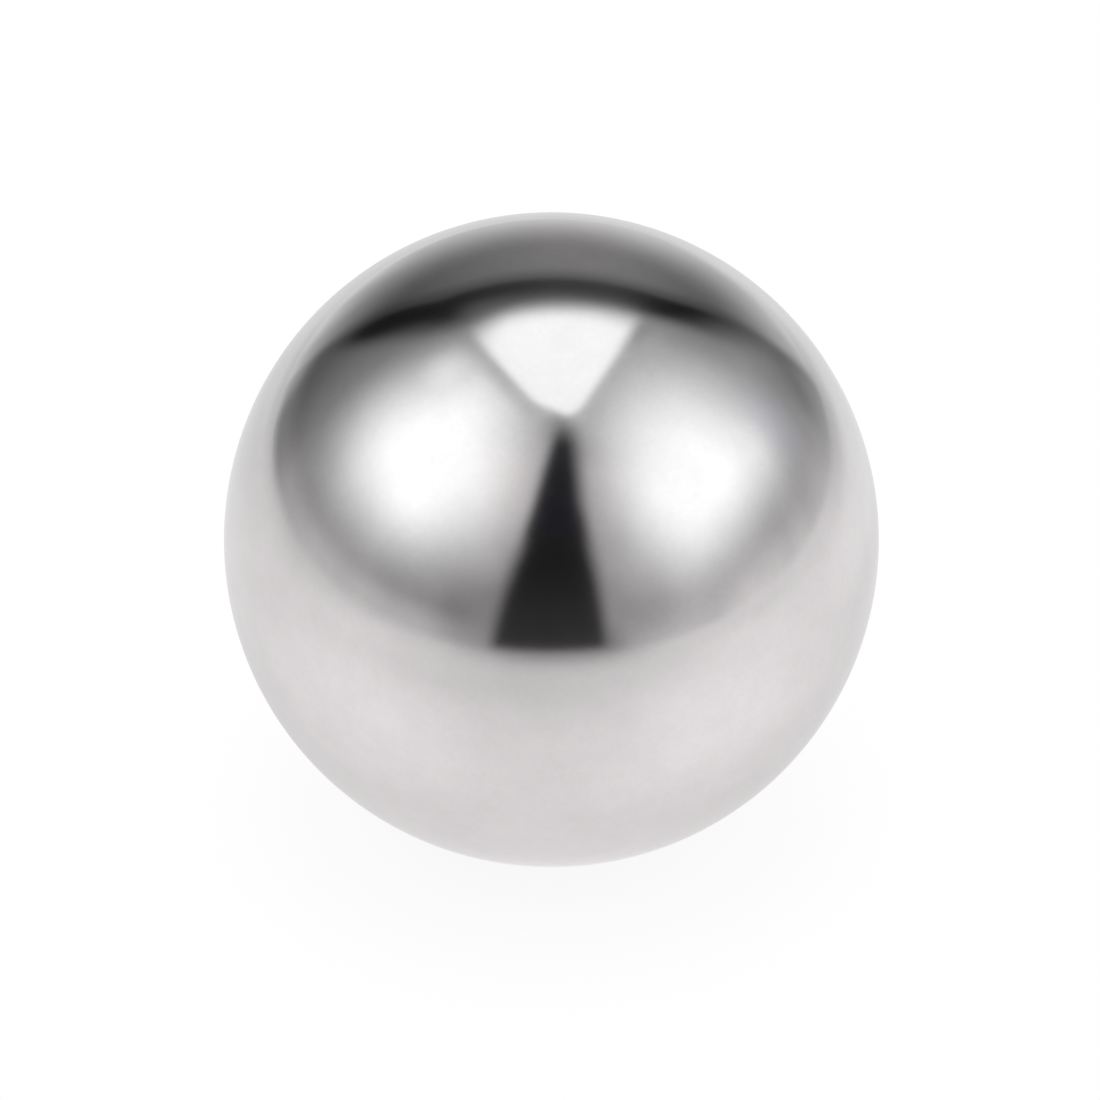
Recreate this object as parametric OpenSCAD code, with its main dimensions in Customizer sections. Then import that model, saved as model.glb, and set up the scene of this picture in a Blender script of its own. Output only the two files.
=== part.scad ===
// Solid steel ball, ground and polished all over: one piece, with no seam,
// flat, hole or mark. The origin is the ball's centre, and +Z is up.

/* [Ball] */
// Diameter of the ball
ball_d = 38.1; // [1:0.1:150]

/* [Hidden] */

// Segments round the ball's great circle when it is drawn as a mesh
great_circle_segments = 180;

// The ball itself, a true sphere about the origin
module ball() {
    color("lightgray")
        sphere(d = ball_d, $fn = great_circle_segments);
}

ball();
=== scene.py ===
"""A polished steel ball on a white table, inside a small round light tent.

Lengths are metres and angles are degrees. A place on the tent is given on its plan, as
(right, front): degrees away from the point overhead, towards the camera's right and towards the
camera. The horizon is 90 degrees out, and the tent meets the table a little beyond it.

A ramp of light is (start, end, level at start, level at end), eased between them. The end of its
name says what it runs along: BY_RIGHT and BY_FRONT on the plan, BY_SIDE for how far to either side
of the plan's middle, BY_ELEVATION, BY_AZIMUTH, or BY_RADII, in ball radii from the ball.
"""

from math import atan, cos, hypot, radians, sin

import bpy
from mathutils import Matrix, Vector


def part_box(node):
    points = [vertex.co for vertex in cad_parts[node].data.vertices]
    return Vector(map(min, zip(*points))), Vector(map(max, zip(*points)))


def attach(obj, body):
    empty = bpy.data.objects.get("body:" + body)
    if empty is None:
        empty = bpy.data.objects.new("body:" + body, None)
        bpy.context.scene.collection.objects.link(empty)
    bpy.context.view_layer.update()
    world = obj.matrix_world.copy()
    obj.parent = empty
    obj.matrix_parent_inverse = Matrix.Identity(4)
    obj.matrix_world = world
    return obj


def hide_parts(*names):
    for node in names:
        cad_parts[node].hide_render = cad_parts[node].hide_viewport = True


# The camera's frame, and where the ball sits in it, in pixels from the top left corner
FRAME_SIDE_PX = 1100
BALL_CENTRE_X_PX = 551.4
BALL_CENTRE_Y_PX = 539.7
BALL_RADIUS_PX = 327.4

# The camera
CAMERA_ELEVATION = 35
LENS_MM = 200
SENSOR_MM = 36
NEAREST_SEEN = 0.01
FARTHEST_SEEN = 10

# The ball's mesh: a cube, halved this many times, is rounded to a sphere
BALL_SUBDIVISIONS = 6

WHITE = (1, 1, 1, 1)

# Polished steel: its two greys, and its roughness in each
STEEL_LIGHT = (0.65, 0.635, 0.638, 1)
STEEL_DARK = (0.607, 0.592, 0.595, 1)
STEEL_ROUGHNESS = (0.1, 0.11)

# The clouds that mix the two: their size, how far they break up into finer ones, and the part of
# the noise between which they go from dark to light
CLOUD_SIZE = 0.006
CLOUD_DETAIL = 5
CLOUD_FINENESS = 0.72
CLOUD_RANGE = (0.35, 0.65)

# The fine grain that lapping leaves, in relief and in shade
GRAIN_SIZE = 0.00025
GRAIN_DETAIL = 3
GRAIN_HEIGHT = 0.0000003
GRAIN_CONTRAST = 0.05

# The table: its white, and how much of what the camera and the steel see of it is plain white
# that needs no light
TABLE_RADIUS = 1.5
TABLE_SIDES = 128
TABLE_WHITE = (0.86, 0.86, 0.86, 1)
TABLE_SELF_WHITE_AT_BALL = 0.9
TABLE_SELF_WHITE_IN_STEEL = 0.6
SHADOW_START = 0.006
SHADOW_END = 0.024

# The table as the steel mirrors it: the plain level of the light painted on it, and a warmer
# white for that painted light all round but at the back
TABLE_PAINTED_LEVEL = 0.53
TABLE_IN_STEEL = (1, 0.972, 0.977, 1)
TABLE_WARM_BY_AZIMUTH = (115, 140, 1, 0)

# Painted light and shade on the table, glowing in what the steel mirrors and cast by no lamp. An
# azimuth is 0 towards the camera, 90 to its right and -90 to its left. A fan is (azimuth, how far
# to each side it is full, how far it reaches) and then a ramp by radii. A spot is (azimuth, radii
# out, reach in radii, level). The two lamps' painted pools of light start at the ball.
LAMP_FANS = [(-86, 20, 82, 3, 14, 0.24, 0.05), (85, 20, 95, 1, 9, 0.3, 0.16)]
LAMP_FANS_BY_RADII = (0, 2, 0, 1)
PAINTED_LIGHT_FANS = [(0, 0, 90, 0.8, 4, 0.23, 0.01), (-160, 0, 35, 8, 12, 0, 0.08)]
PAINTED_LIGHT_SPOTS = [
    (-55, 2.3, 2.4, 0.1), (-62, 7, 4, 0.05), (-15, 3, 1.8, 0.06), (-8, 6.5, 5, 0.05),
    (35, 2.8, 2.5, 0.09), (58, 5.5, 3, 0.08), (-48, 10, 4, 0.05), (38, 9, 3.5, 0.05),
    (118, 5, 3, 0.07), (151, 9, 4.5, 0.05),
]
BACK_LIGHT_BY_AZIMUTH = (120, 160, 0, 1)
BACK_LIGHT_BY_RADII = (3, 7, 0, 0.1)
PAINTED_SHADE_FANS = [
    (5, 8, 42, 5, 13, 0, 0.24), (137, 0, 28, 5, 9.2, 0, 0.2), (134, 10, 60, 2, 3.2, 0.1, 0),
    (134, 10, 50, 10.5, 13.5, 0, 0.06), (-120, 0, 50, 1, 2.6, 0.12, 0),
]
PAINTED_SHADE_SPOTS = [
    (-140, 9.5, 3.5, 0.06), (-128, 5, 2.5, 0.05), (-82, 8, 4.5, 0.04), (-148, 11, 4, 0.04),
    (118, 12, 3.5, 0.05), (106, 2.2, 1.8, 0.035),
]

# The tent's dome: its radius in ball radii, and its mesh
TENT_BALL_RADII = 13
TENT_SEGMENTS = 96
TENT_RINGS = 48

# The tent's panels, by their corners on its plan. A corner's third number is the softness of the
# side that starts there.
LEFT_LAMP = [(-66.5, 38, 18), (-66.5, -11, 21), (-10, -11, 20), (-10, 49, 23), (-57, 49, 21)]
RIGHT_LAMP = [(20, -7, 27), (74.5, -18, 14), (62, 52, 23), (20, 52, 30), (18, 50, 23)]
BACK_GAP = [
    (-52, -58, 5), (-51, -47.2, 5), (-45, -38.7, 7.5), (-25, -26.7, 7), (24, -31.3, 5),
    (41, -37.5, 11), (51, -50, 8), (51, -58, 8),
]
BACKDROP = [
    (-59, -67, 3), (-50, -57.6, 1), (-28, -44.2, 1.5), (28, -45.4, 1.5), (46, -53.3, 5),
    (58.5, -69, 7), (63, -105, 3), (-80, -105, 4),
]
BACKDROP_LIT = [
    (-70, -75.7, 4), (-28, -48.5, 4), (28, -49, 4), (70, -70, 4), (80, -105, 4), (-80, -105, 4),
]
SLIT_FOOT = [(-4.6, 44, 4.5), (-40.6, 105, 6), (35, 105, 4.5), (10.4, 44, 5)]
SLIT_TOP = [(1.8, 17.5, 2.5), (-10.6, 56, 4.5), (13, 56, 4), (7.5, 17.5, 6.5)]
CEILING_SEAM = [
    (-4, 15.5, 3), (11, 15.5, 4), (21.5, -8, 3), (26, -29, 4), (-25, -24, 4), (-20, -7, 4.5),
    (-14.5, 5, 4),
]
CEILING = [
    (-5, 8.6, 1.5), (5, 13.2, 1.5), (9, 10.5, 1.5), (17.8, -9.5, 2.2), (22.3, -28.7, 7),
    (0, -31.1, 7), (-17.5, -26.4, 7.5), (-20.3, -20, 2.2), (-15.3, -7.5, 1.5), (-10.2, 1.4, 1.5),
]
CEILING_LEVEL = 1.5
SLIT_TOP_LEVEL = 0.016

# The cloth: each side's plain level from back to front, and what its lamp adds
RIGHT_SIDE_BY_RIGHT = (-20, 20, 0, 1)
LEFT_CLOTH_BY_FRONT = (-60, -10, 0.13, 0.34)
RIGHT_CLOTH_BY_FRONT = (-72, -32, 0.13, 0.41)
LEFT_LAMP_LEVEL = 1.24
RIGHT_LAMP_LEVEL = 1.15

# Soft round glows on the cloth, each (right, front, reach, level), and shades of the same form
CLOTH_GLOWS = [
    # the wide spill of each lamp
    (-80, 10, 75, 0.12), (80, 20, 60, 0.1),
    # round the right lamp
    (82, 33, 25, 0.13), (87, 14, 13, 0.07), (64, 16, 15, 0.08), (66, -8, 11, 0.1),
    (88, -6, 13, 0.05), (72, -44, 10, 0.06), (24, -22, 9, 0.05),
    # round the left lamp
    (-86, -30, 16, 0.05), (-30, -13, 10, 0.25),
    # on both sides of the slit
    (-24, 62, 9, 0.05), (24, 60, 9, 0.04), (34, 62, 14, 0.07), (-30, 60, 14, 0.04),
    # beyond the backdrop's ends
    (61, -61, 8, 0.05), (-62, -67, 8, 0.04),
]
CLOTH_SHADES = [
    # round the right lamp
    (38, -33, 16, 0.07), (76, -20, 18, 0.08), (31, 86, 10, 0.12), (52, 45, 10, 0.05),
    # round the left lamp
    (-62, 44, 22, 0.07), (-76, -8, 22, 0.04), (-46, 74, 16, 0.06),
    # over the slit
    (1, 19.5, 6.5, 0.13), (13, 25, 8, 0.07),
]

# The cloth's hem, painted as lit by the table, and its foot, a narrow painted band at the table
HEM_BY_SIDE = (20, 65, 0, 1)
LEFT_HEM_BY_FRONT = [(-30, 0, 0.14, 0.23), (20, 50, 0, 0.08), (-57, -69, 0, 0.17)]
LEFT_HEM_BY_ELEVATION = (9, -1, 0, 1)
RIGHT_HEM_AHEAD_BY_FRONT = (-45, -15, 0, 1)
RIGHT_HEM_AHEAD_BY_ELEVATION = (12, -8, 0, 0.36)
RIGHT_HEM_BEHIND_BY_FRONT = (-15, -45, 0, 1)
RIGHT_HEM_BEHIND_BY_ELEVATION = (8, -7, 0, 0.32)
LEFT_FOOT_BY_FRONT = (0, -50, 0.14, 0.34)
LEFT_FOOT_FADE_BY_FRONT = (-50, -65, 0, 0.1)
LEFT_FOOT_BY_ELEVATION = (-1, -5, 0, 1)
RIGHT_FOOT_BY_ELEVATION = (-2, -5, 0, 0.07)

# The dark gap over the backdrop
GAP_BY_RIGHT = (-36, 10, 0.012, 0.06)
GAP_DARKER_BY_RIGHT = (14, 32, 0, 0.048)
GAP_END_BY_RIGHT = (36, 46, 0, 0.055)
GAP_MIDDLE_BY_SIDE = (18, 28, 1, 0)
GAP_MIDDLE_BY_FRONT = (-41, -31, 0, 0.12)

# The backdrop, glowing with painted light and shade: lightest a little right of its middle,
# lighter towards the table and most of all at its two ends, and in painted shade above its lit part
BACKDROP_BY_RIGHT = (-50, 5, 0.075, 0.28)
BACKDROP_DARKER_BY_RIGHT = (12, 40, 0, 0.13)
BACKDROP_BY_ELEVATION = (26, -8, 0, 0.48)
BACKDROP_ENDS_BY_SIDE = (14, 34, 0, 1)
BACKDROP_ENDS_BY_ELEVATION = (1, -5, 0, 0.17)
BACKDROP_GLOWS = [
    (50, -80, 22, 0.09), (-32, -86, 10, 0.1), (-60, -70, 10, 0.12), (-48, -84, 18, 0.15),
    (-45, -78, 9, 0.04),
]
BACKDROP_SHADES = [(53, -75, 8, 0.05)]
BACKDROP_PAINTED_SHADE_SHARE = 0.55

# The slit that the camera looks in through, and the seam round the ceiling
SLIT_BY_ELEVATION = [(30, 0, 0.015, 0.04), (-0.5, -6.5, 0, 0.64)]
SEAM_BY_FRONT = [(-28, -12, 0.34, 0.63), (-8, 6, 0, 0.1)]
SEAM_CORNER_SHADE = (2, 18.5, 8, 0.55)

# The tent's faint colours, and where each of them lies. The back is plain white.
CLOTH_OVERHEAD = (0.976, 1, 0.998, 1)
WHITE_BY_FRONT = (-55, -80, 0, 1)
CLOTH_NEAR_TABLE = (1, 0.982, 0.986, 1)
NEAR_TABLE_BY_ELEVATION = (16, 4, 0, 1)
NEAR_TABLE_BY_FRONT = (-60, -35, 0, 1)
NEAR_SLIT_BY_FRONT = (12, 34, 0, 1)
NEAR_SLIT_BY_SIDE = (14, 34, 1, 0)
NEAR_CAMERA_BY_FRONT = (48, 66, 0, 1)
WARM_BACKDROP = (5, -62, 26, 1)
CLOTH_BY_WINDOW = (0.976, 0.99, 1.06, 1)
WINDOW_GLOW = (66, -26, 18, 1)
SLIT_TOP_COLOUR = (0.95, 0.92, 1.2, 1)
SLIT_TOP_COLOUR_RANGE = (0.8, 1, 0, 1)


def deselect_all():
    bpy.ops.object.select_all(action="DESELECT")


# ---------------------------------------------------------------- materials


class Amount:
    """A number that a node puts out, with arithmetic that adds the nodes it needs."""

    def __init__(self, nodes, socket):
        self.nodes = nodes
        self.socket = socket

    def __add__(self, other):
        return self.nodes.math("ADD", self, other)

    def __sub__(self, other):
        return self.nodes.math("SUBTRACT", self, other)

    def __rsub__(self, other):
        return self.nodes.math("SUBTRACT", other, self)

    def __mul__(self, other):
        return self.nodes.math("MULTIPLY", self, other)

    def __abs__(self):
        return self.nodes.math("ABSOLUTE", self)

    def eased(self, start, end, low, high):
        """low where this is start, high where it is end, and eased between them."""
        node = self.nodes.add("ShaderNodeMapRange", interpolation_type="SMOOTHSTEP", clamp=True)
        for name, value in (
            ("Value", self), ("From Min", start), ("From Max", end), ("To Min", low),
            ("To Max", high),
        ):
            self.nodes.set(node.inputs[name], value)
        return Amount(self.nodes, node.outputs["Result"])

    def eased_sum(self, ramps):
        """The sum of several ramps of this number."""
        total = self.eased(*ramps[0])
        for ramp in ramps[1:]:
            total += self.eased(*ramp)
        return total


class Nodes:
    """A material's or world's node tree, with short ways to add what the materials here need."""

    def __init__(self, owner):
        owner.use_nodes = True
        self.tree = owner.node_tree
        self.tree.nodes.clear()

    def add(self, kind, **settings):
        node = self.tree.nodes.new(kind)
        for name, value in settings.items():
            setattr(node, name, value)
        return node

    def set(self, socket, value):
        """Links value to socket if it comes from another node, and stores it there if not."""
        if isinstance(value, Amount):
            value = value.socket
        if isinstance(value, bpy.types.NodeSocket):
            self.tree.links.new(value, socket)
        else:
            socket.default_value = value

    def math(self, operation, first, second=0.0):
        node = self.add("ShaderNodeMath", operation=operation)
        self.set(node.inputs[0], first)
        self.set(node.inputs[1], second)
        return Amount(self, node.outputs[0])

    def vector(self, operation, first, second=None):
        node = self.add("ShaderNodeVectorMath", operation=operation)
        self.set(node.inputs[0], first)
        if second is not None:
            self.set(node.inputs[1], second)
        return node

    def split(self, vector):
        """The three parts of a vector."""
        node = self.add("ShaderNodeSeparateXYZ")
        self.set(node.inputs[0], vector)
        return [Amount(self, part) for part in node.outputs]

    def lay_over(self, below, above, share):
        """above where share is 1, below where it is 0."""
        node = self.add("ShaderNodeMix", data_type="FLOAT")
        self.set(node.inputs[0], share)
        self.set(node.inputs[2], below)
        self.set(node.inputs[3], above)
        return Amount(self, node.outputs[0])

    def object_place(self):
        return self.add("ShaderNodeTexCoord").outputs["Object"]

    def blend(self, first, second, share):
        """The first colour where share is 0, the second where it is 1."""
        node = self.add("ShaderNodeMix", data_type="RGBA")
        self.set(node.inputs[0], share)
        self.set(node.inputs[6], first)
        self.set(node.inputs[7], second)
        return node.outputs[2]

    def emission(self, strength, colour):
        node = self.add("ShaderNodeEmission")
        self.set(node.inputs["Strength"], strength)
        self.set(node.inputs["Color"], colour)
        return node.outputs["Emission"]

    def finish_surface(self, shader):
        output = self.add("ShaderNodeOutputMaterial")
        self.set(output.inputs["Surface"], shader)


def new_material(name):
    material = bpy.data.materials.new(name)
    return material, Nodes(material)


def polished_steel():
    """Bare steel, lapped to a soft mirror: faint clouds in its colour and gloss, and the finest
    of lapping marks."""
    material, nodes = new_material("polished_steel_finish")
    place = nodes.object_place()

    clouds = nodes.add("ShaderNodeTexNoise")
    clouds.inputs["Scale"].default_value = 1 / CLOUD_SIZE
    clouds.inputs["Detail"].default_value = CLOUD_DETAIL
    clouds.inputs["Roughness"].default_value = CLOUD_FINENESS
    nodes.set(clouds.inputs["Vector"], place)

    tint = nodes.add("ShaderNodeValToRGB")
    tint.color_ramp.elements[0].position = CLOUD_RANGE[0]
    tint.color_ramp.elements[0].color = STEEL_DARK
    tint.color_ramp.elements[1].position = CLOUD_RANGE[1]
    tint.color_ramp.elements[1].color = STEEL_LIGHT
    nodes.set(tint.inputs["Fac"], clouds.outputs["Fac"])

    grain = nodes.add("ShaderNodeTexNoise")
    grain.inputs["Scale"].default_value = 1 / GRAIN_SIZE
    grain.inputs["Detail"].default_value = GRAIN_DETAIL
    nodes.set(grain.inputs["Vector"], place)
    shade = Amount(nodes, grain.outputs["Fac"]) * GRAIN_CONTRAST + (1 - GRAIN_CONTRAST / 2)
    colour = nodes.vector("SCALE", tint.outputs["Color"])
    nodes.set(colour.inputs["Scale"], shade)
    relief = nodes.add("ShaderNodeBump")
    relief.inputs["Strength"].default_value = 1
    relief.inputs["Distance"].default_value = GRAIN_HEIGHT
    nodes.set(relief.inputs["Height"], grain.outputs["Fac"])

    steel = nodes.add("ShaderNodeBsdfPrincipled")
    steel.inputs["Metallic"].default_value = 1
    nodes.set(steel.inputs["Base Color"], colour.outputs["Vector"])
    gloss = Amount(nodes, clouds.outputs["Fac"]).eased(*CLOUD_RANGE, *STEEL_ROUGHNESS)
    nodes.set(steel.inputs["Roughness"], gloss)
    nodes.set(steel.inputs["Normal"], relief.outputs["Normal"])
    nodes.finish_surface(steel.outputs["BSDF"])
    return material


class Plan:
    """Where the shaded point is on the tent's plan."""

    def __init__(self, nodes):
        self.nodes = nodes
        direction = nodes.vector("NORMALIZE", nodes.object_place()).outputs["Vector"]
        across, deep, high = nodes.split(direction)
        self.from_overhead = nodes.math("DEGREES", nodes.math("ARCCOSINE", high))
        flat = nodes.add("ShaderNodeCombineXYZ")
        nodes.set(flat.inputs["X"], across)
        nodes.set(flat.inputs["Y"], deep * -1)
        outward = nodes.vector("NORMALIZE", flat.outputs["Vector"]).outputs["Vector"]
        node = nodes.vector("SCALE", outward)
        nodes.set(node.inputs["Scale"], self.from_overhead)
        self.place = node.outputs["Vector"]
        self.right, self.front, _ = nodes.split(self.place)
        self.off_middle = abs(self.right)
        self.elevation = 90 - self.from_overhead

    def panel(self, corners):
        """1 within the corners and 0 outside them, with the sides as soft as the corners say."""
        middle_x = sum(corner[0] for corner in corners) / len(corners)
        middle_y = sum(corner[1] for corner in corners) / len(corners)
        share = None
        for start, end in zip(corners, corners[1:] + corners[:1]):
            length = hypot(end[0] - start[0], end[1] - start[1])
            inward_x = (start[1] - end[1]) / length
            inward_y = (end[0] - start[0]) / length
            if (middle_x - start[0]) * inward_x + (middle_y - start[1]) * inward_y < 0:
                inward_x, inward_y = -inward_x, -inward_y
            at_side = start[0] * inward_x + start[1] * inward_y
            softness = start[2]
            dot = self.nodes.vector("DOT_PRODUCT", self.place, (inward_x, inward_y, 0))
            inside = Amount(self.nodes, dot.outputs["Value"])
            inside = inside.eased(at_side - softness, at_side + softness, 0, 1)
            share = inside if share is None else share * inside
        return share

    def glow(self, right, front, reach, level):
        """A round glow: level at its middle, and nothing beyond its reach."""
        offset = self.nodes.vector("DISTANCE", self.place, (right, front, 0))
        return Amount(self.nodes, offset.outputs["Value"]).eased(0, reach, level, 0)

    def glows(self, places):
        """The sum of several round glows."""
        total = self.glow(*places[0])
        for place in places[1:]:
            total += self.glow(*place)
        return total


def tent_cloth():
    """The tent, seen from inside: white cloth that two lamps shine through, a bright ceiling
    with a greyer seam round it, a grey backdrop that hangs clear of the cloth, with a dark gap
    over it, and the dark slit that the camera looks in through."""
    material, nodes = new_material("tent_cloth")
    plan = Plan(nodes)
    level = lamp_cloth(plan)
    level = nodes.lay_over(level, backdrop_gap(plan), plan.panel(BACK_GAP))
    level = nodes.lay_over(level, backdrop(plan), plan.panel(BACKDROP))
    level = nodes.lay_over(level, plan.elevation.eased_sum(SLIT_BY_ELEVATION), plan.panel(SLIT_FOOT))
    level = nodes.lay_over(level, SLIT_TOP_LEVEL, plan.panel(SLIT_TOP))
    seam = plan.front.eased_sum(SEAM_BY_FRONT) - plan.glow(*SEAM_CORNER_SHADE)
    level = nodes.lay_over(level, seam, plan.panel(CEILING_SEAM))
    level = nodes.lay_over(level, CEILING_LEVEL, plan.panel(CEILING))
    nodes.finish_surface(nodes.emission(level, tent_colour(nodes, plan)))
    return material


def lamp_cloth(plan):
    """The level of the cloth itself: two lamps, their spill, and painted light from the table on the
    hem.
    """
    front, elevation = plan.front, plan.elevation
    right_side = plan.right.eased(*RIGHT_SIDE_BY_RIGHT)
    left_side = 1 - right_side
    cloth = left_side * front.eased(*LEFT_CLOTH_BY_FRONT)
    cloth += right_side * front.eased(*RIGHT_CLOTH_BY_FRONT)
    cloth += plan.panel(LEFT_LAMP) * LEFT_LAMP_LEVEL
    cloth += plan.panel(RIGHT_LAMP) * RIGHT_LAMP_LEVEL
    cloth += plan.glows(CLOTH_GLOWS)
    cloth -= plan.glows(CLOTH_SHADES)

    # Painted light from the table on the hem and the foot
    left_hem = front.eased_sum(LEFT_HEM_BY_FRONT) * elevation.eased(*LEFT_HEM_BY_ELEVATION)
    ahead = front.eased(*RIGHT_HEM_AHEAD_BY_FRONT)
    behind = front.eased(*RIGHT_HEM_BEHIND_BY_FRONT)
    right_hem = ahead * elevation.eased(*RIGHT_HEM_AHEAD_BY_ELEVATION)
    right_hem += behind * elevation.eased(*RIGHT_HEM_BEHIND_BY_ELEVATION)
    hem = left_side * left_hem + right_side * right_hem
    cloth += hem * plan.off_middle.eased(*HEM_BY_SIDE)
    left_foot = front.eased(*LEFT_FOOT_BY_FRONT) - front.eased(*LEFT_FOOT_FADE_BY_FRONT)
    cloth += left_side * left_foot * elevation.eased(*LEFT_FOOT_BY_ELEVATION)
    cloth += right_side * elevation.eased(*RIGHT_FOOT_BY_ELEVATION)
    return cloth


def backdrop_gap(plan):
    """The level of the dark gap between the cloth and the backdrop's top."""
    gap = plan.right.eased(*GAP_BY_RIGHT) - plan.right.eased(*GAP_DARKER_BY_RIGHT)
    gap += plan.right.eased(*GAP_END_BY_RIGHT)
    middle = plan.off_middle.eased(*GAP_MIDDLE_BY_SIDE)
    gap += middle * plan.front.eased(*GAP_MIDDLE_BY_FRONT)
    return gap


def backdrop(plan):
    """The painted light and shade that the grey backdrop glows with."""
    level = plan.right.eased(*BACKDROP_BY_RIGHT) - plan.right.eased(*BACKDROP_DARKER_BY_RIGHT)
    level += plan.elevation.eased(*BACKDROP_BY_ELEVATION)
    ends = plan.off_middle.eased(*BACKDROP_ENDS_BY_SIDE)
    level += ends * plan.elevation.eased(*BACKDROP_ENDS_BY_ELEVATION)
    level += plan.glows(BACKDROP_GLOWS)
    level -= plan.glows(BACKDROP_SHADES)
    # Painted shade on the backdrop above its lit part
    lit = plan.panel(BACKDROP_LIT)
    return level * (lit * (1 - BACKDROP_PAINTED_SHADE_SHARE) + BACKDROP_PAINTED_SHADE_SHARE)


def tent_colour(nodes, plan):
    """The tent's faint colours: cool overhead, white at the back, warm near the table and by the
    slit, and blue by the window and at the slit's top."""
    front, off_middle = plan.front, plan.off_middle
    near_table = plan.elevation.eased(*NEAR_TABLE_BY_ELEVATION) * front.eased(*NEAR_TABLE_BY_FRONT)
    near_slit = front.eased(*NEAR_SLIT_BY_FRONT) * off_middle.eased(*NEAR_SLIT_BY_SIDE)
    warm = nodes.lay_over(near_table, 1, near_slit)
    warm = nodes.lay_over(warm, 1, front.eased(*NEAR_CAMERA_BY_FRONT))
    warm += plan.glow(*WARM_BACKDROP)
    at_slit_top = plan.panel(SLIT_TOP).eased(*SLIT_TOP_COLOUR_RANGE)
    colour = nodes.blend(CLOTH_OVERHEAD, WHITE, front.eased(*WHITE_BY_FRONT))
    colour = nodes.blend(colour, CLOTH_NEAR_TABLE, warm)
    colour = nodes.blend(colour, CLOTH_BY_WINDOW, plan.glow(*WINDOW_GLOW))
    return nodes.blend(colour, SLIT_TOP_COLOUR, at_slit_top)


def white_table(ball_radius):
    """White board. To the camera it is plain white but for the ball's shadow. In the steel it shows
    painted light and shade, brightest on the left and the right, over a share of real light from the
    tent's lamps."""
    material, nodes = new_material("white_table")
    board = nodes.add("ShaderNodeBsdfDiffuse")
    board.inputs["Color"].default_value = TABLE_WHITE
    place = nodes.object_place()
    across, deep, _ = nodes.split(place)
    distance = nodes.math("SQRT", across * across + deep * deep)
    radii = distance * (1 / ball_radius)
    flatten = nodes.vector("MULTIPLY", place, (1, 1, 0))
    on_table = flatten.outputs["Vector"]
    azimuth = nodes.math("DEGREES", nodes.math("ARCTAN2", across, deep * -1))

    def spot(azimuth, radii_out, reach, level):
        """A round patch on the table, its middle given from the ball."""
        middle = Vector((sin(radians(azimuth)), -cos(radians(azimuth)), 0))
        offset = nodes.vector("DISTANCE", on_table, middle * radii_out * ball_radius)
        return Amount(nodes, offset.outputs["Value"]).eased(0, reach * ball_radius, level, 0)

    def fan(middle, full, reach, start, end, low, high):
        """A patch that fans out from the ball round an azimuth."""
        share = abs(azimuth - middle).eased(full, reach, 1, 0)
        return share * radii.eased(start, end, low, high)

    # Painted light and shade, which the table glows with only where the steel mirrors it
    lit = fan(*LAMP_FANS[0]) + fan(*LAMP_FANS[1])
    lit = lit * radii.eased(*LAMP_FANS_BY_RADII) + TABLE_PAINTED_LEVEL
    at_back = abs(azimuth).eased(*BACK_LIGHT_BY_AZIMUTH)
    lit += at_back * radii.eased(*BACK_LIGHT_BY_RADII)
    for light in PAINTED_LIGHT_FANS:
        lit += fan(*light)
    for light in PAINTED_LIGHT_SPOTS:
        lit += spot(*light)
    for shade in PAINTED_SHADE_FANS:
        lit -= fan(*shade)
    for shade in PAINTED_SHADE_SPOTS:
        lit -= spot(*shade)

    rays = nodes.add("ShaderNodeLightPath")
    to_camera = Amount(nodes, rays.outputs["Is Camera Ray"])
    mirrored = nodes.math(
        "MAXIMUM", rays.outputs["Is Glossy Ray"], rays.outputs["Is Transmission Ray"]
    )
    white_share = distance.eased(SHADOW_START, SHADOW_END, TABLE_SELF_WHITE_AT_BALL, 1)
    share = to_camera * white_share + mirrored * TABLE_SELF_WHITE_IN_STEEL
    # The steel sees the painted light, with its warm tint, in the table's glow
    level = nodes.lay_over(1.0, lit * (1 / TABLE_SELF_WHITE_IN_STEEL), mirrored)
    warm = mirrored * abs(azimuth).eased(*TABLE_WARM_BY_AZIMUTH)
    mix = nodes.add("ShaderNodeMixShader")
    nodes.set(mix.inputs["Fac"], share)
    nodes.set(mix.inputs[1], board.outputs["BSDF"])
    nodes.set(mix.inputs[2], nodes.emission(level, nodes.blend(WHITE, TABLE_IN_STEEL, warm)))
    nodes.finish_surface(mix.outputs["Shader"])
    return material


def white_world():
    world = bpy.data.worlds.new("white_world")
    nodes = Nodes(world)
    background = nodes.add("ShaderNodeBackground")
    background.inputs["Color"].default_value = WHITE
    background.inputs["Strength"].default_value = 1
    output = nodes.add("ShaderNodeOutputWorld")
    nodes.set(output.inputs["Surface"], background.outputs["Background"])
    bpy.context.scene.world = world


# ---------------------------------------------------------------- pieces


def make_ball(radius):
    """The ball: a cube, subdivided and cast to a true sphere, so that no pole pinches it."""
    deselect_all()
    bpy.ops.mesh.primitive_cube_add(size=2 * radius)
    ball = bpy.context.object
    ball.name = "steel_ball"
    ball.data.name = "steel_ball"
    round_off = ball.modifiers.new("round_off", "SUBSURF")
    round_off.levels = BALL_SUBDIVISIONS
    round_off.render_levels = BALL_SUBDIVISIONS
    bpy.ops.object.modifier_apply(modifier=round_off.name)
    grind = ball.modifiers.new("grind", "CAST")
    grind.cast_type = "SPHERE"
    grind.factor = 1
    grind.use_radius_as_size = False
    grind.size = radius
    bpy.ops.object.modifier_apply(modifier=grind.name)
    bpy.ops.object.shade_smooth()
    ball.data.materials.append(polished_steel())
    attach(ball, "root")
    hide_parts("ball")
    return ball


def make_table(height, ball_radius):
    deselect_all()
    bpy.ops.mesh.primitive_circle_add(
        vertices=TABLE_SIDES, radius=TABLE_RADIUS, fill_type="NGON", location=(0, 0, height)
    )
    bpy.ops.object.transform_apply(location=True, rotation=False, scale=False)
    table = bpy.context.object
    table.name = "white_table"
    table.data.materials.append(white_table(ball_radius))
    return table


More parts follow.
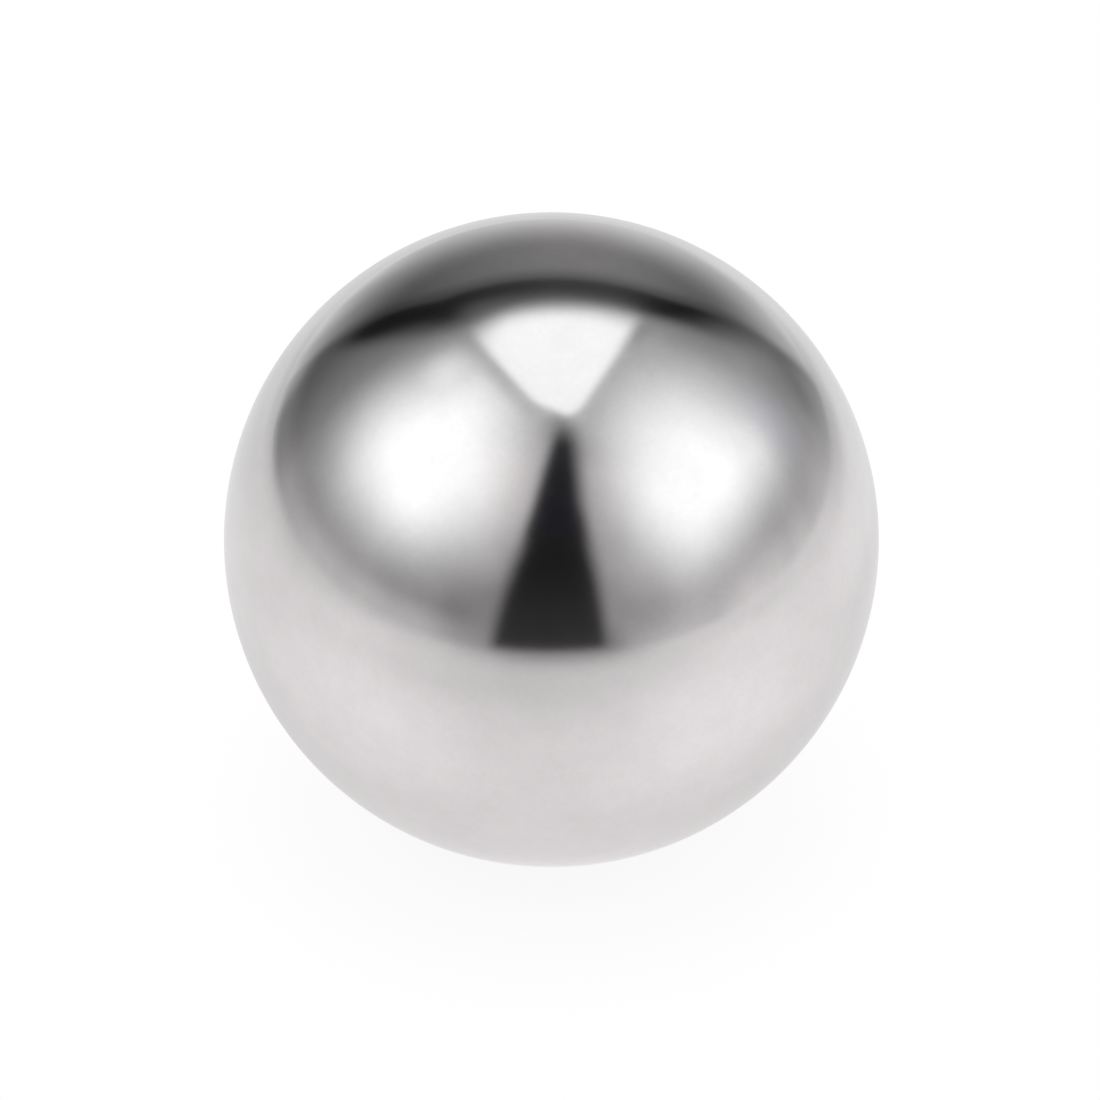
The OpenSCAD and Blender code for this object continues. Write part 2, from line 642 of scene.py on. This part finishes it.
def make_tent(radius, table_height):
    """The light tent: a dome that stands on the table. The camera looks through it, and the ball
    mirrors it."""
    deselect_all()
    bpy.ops.mesh.primitive_uv_sphere_add(
        segments=TENT_SEGMENTS, ring_count=TENT_RINGS, radius=radius
    )
    tent = bpy.context.object
    tent.name = "light_tent"
    bpy.ops.object.mode_set(mode="EDIT")
    bpy.ops.mesh.select_all(action="SELECT")
    bpy.ops.mesh.bisect(
        plane_co=(0, 0, table_height), plane_no=(0, 0, 1), clear_inner=True
    )
    bpy.ops.object.mode_set(mode="OBJECT")
    tent.data.materials.append(tent_cloth())
    tent.visible_camera = False
    return tent


# ---------------------------------------------------------------- camera


def place_camera(ball_centre, ball_radius):
    """Stands the camera so that the ball has its place and size in the frame."""
    half_side_px = FRAME_SIDE_PX / 2
    half_field = SENSOR_MM / 2 / LENS_MM
    distance = ball_radius / sin(atan(half_field * BALL_RADIUS_PX / half_side_px))
    elevation = radians(CAMERA_ELEVATION)
    back = Vector((0, -cos(elevation), sin(elevation)))
    up = Vector((0, sin(elevation), cos(elevation)))
    right = Vector((1, 0, 0))
    position = ball_centre + back * distance
    off_right = (BALL_CENTRE_X_PX - half_side_px) / half_side_px * half_field * distance
    off_up = (half_side_px - BALL_CENTRE_Y_PX) / half_side_px * half_field * distance
    aim = ball_centre - right * off_right - up * off_up

    lens = bpy.data.cameras.new("camera")
    lens.lens = LENS_MM
    lens.sensor_width = SENSOR_MM
    lens.clip_start = NEAREST_SEEN
    lens.clip_end = FARTHEST_SEEN
    camera = bpy.data.objects.new("camera", lens)
    bpy.context.scene.collection.objects.link(camera)
    turn = (aim - position).to_track_quat("-Z", "Y")
    camera.matrix_world = Matrix.LocRotScale(position, turn, None)
    bpy.context.scene.camera = camera


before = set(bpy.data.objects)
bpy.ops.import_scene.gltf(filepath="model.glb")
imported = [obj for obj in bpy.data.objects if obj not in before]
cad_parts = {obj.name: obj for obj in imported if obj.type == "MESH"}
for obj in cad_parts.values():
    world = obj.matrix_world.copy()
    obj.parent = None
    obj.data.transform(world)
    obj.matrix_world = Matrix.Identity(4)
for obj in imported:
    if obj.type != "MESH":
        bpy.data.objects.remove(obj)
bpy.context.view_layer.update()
low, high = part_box("ball")
centre = (low + high) / 2
radius = (high.z - low.z) / 2

bpy.context.scene.view_settings.view_transform = "Standard"
white_world()
make_ball(radius)
make_table(low.z, radius)
make_tent(TENT_BALL_RADII * radius, low.z)
place_camera(Vector((0, 0, centre.z)), radius)
